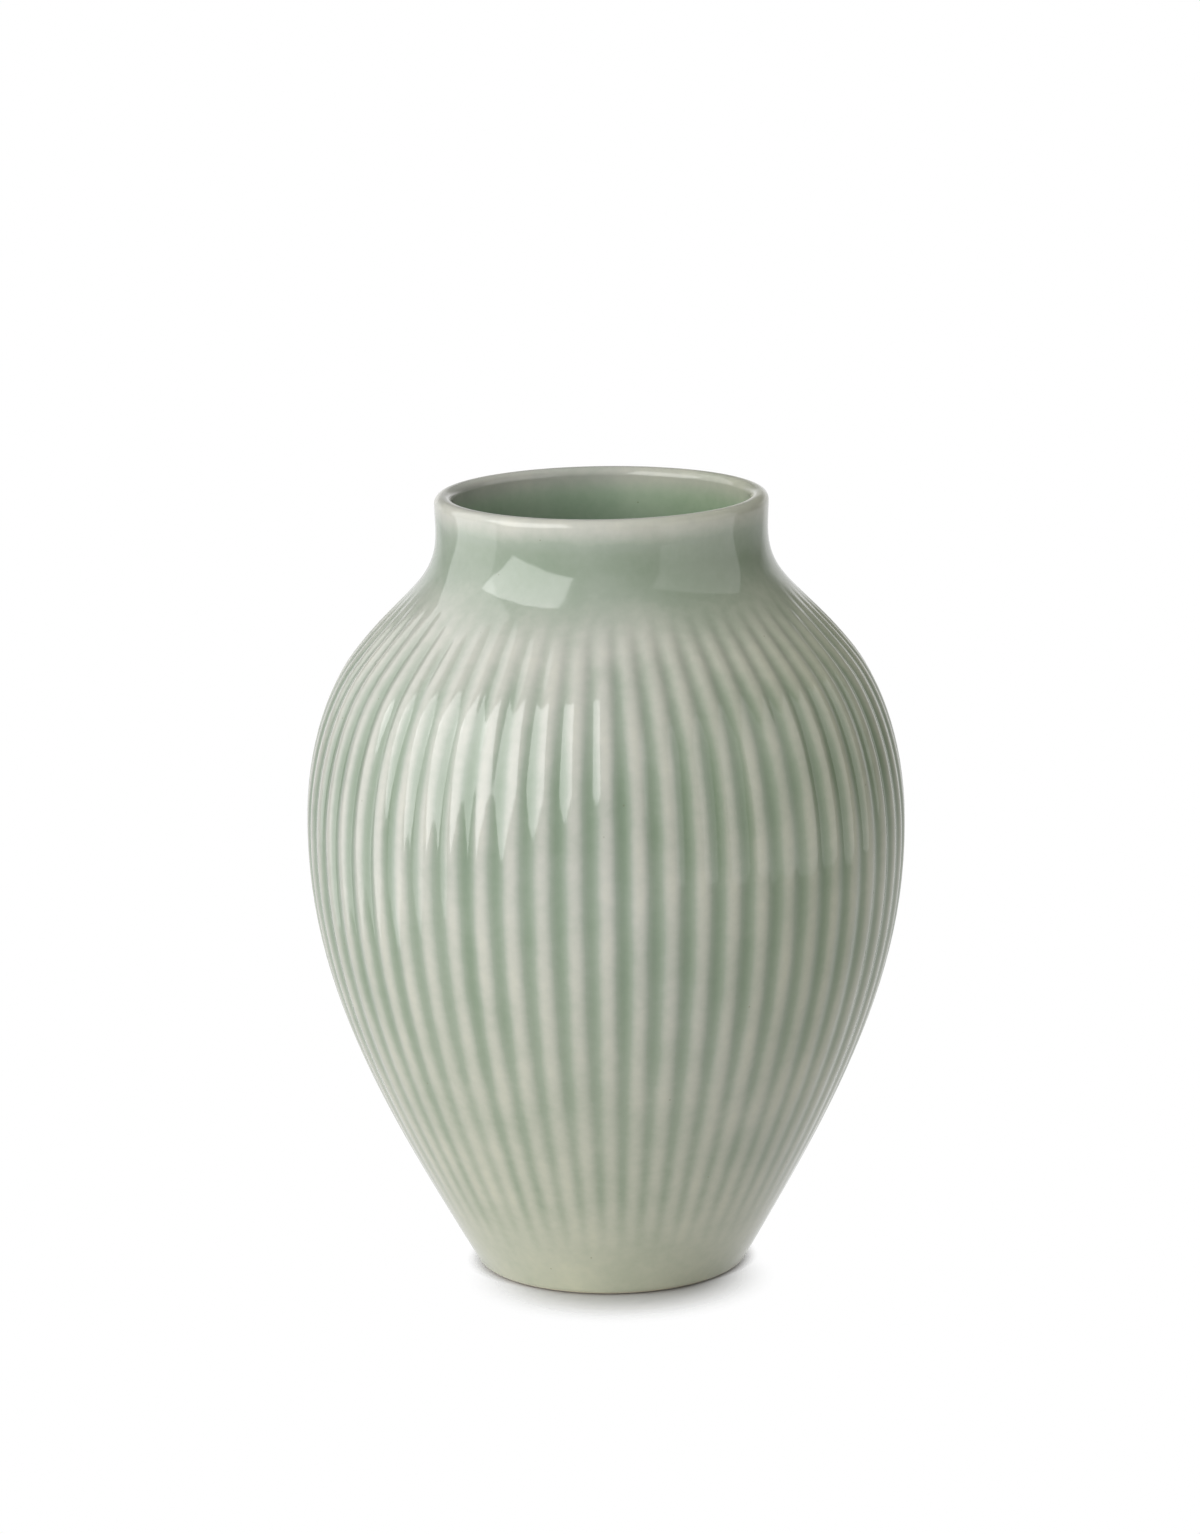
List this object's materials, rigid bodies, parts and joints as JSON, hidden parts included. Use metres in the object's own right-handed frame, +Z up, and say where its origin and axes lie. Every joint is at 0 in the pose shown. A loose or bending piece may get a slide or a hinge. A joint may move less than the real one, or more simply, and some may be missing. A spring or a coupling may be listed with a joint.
{
  "type": "ribbed ceramic vase",
  "caption": "Round-shouldered stoneware vase with fine vertical ribs, a short straight neck and a wide rounded lip, under a pale green glaze.",
  "frame": {"origin": "centre of the foot, on the surface that the vase stands on", "axes": "+Z up along the axis of the vase, towards the mouth; -Y is the side that the picture shows"},
  "size_m": [0.1518, 0.1518, 0.2],
  "materials": {
    "bare_stoneware": "matt, fine-grained, unglazed",
    "outer_glaze": "glossy pale green glaze, greener where it pools in the grooves",
    "inner_glaze": "glossy pale green glaze",
    "base_glaze": "glossy pale green glaze, thin"
  },
  "bodies": {
    "root": {"clay_body": "bare_stoneware", "outer_glaze": "outer_glaze", "inner_glaze": "inner_glaze", "base_glaze": "base_glaze"}
  },
  "joints": []
}
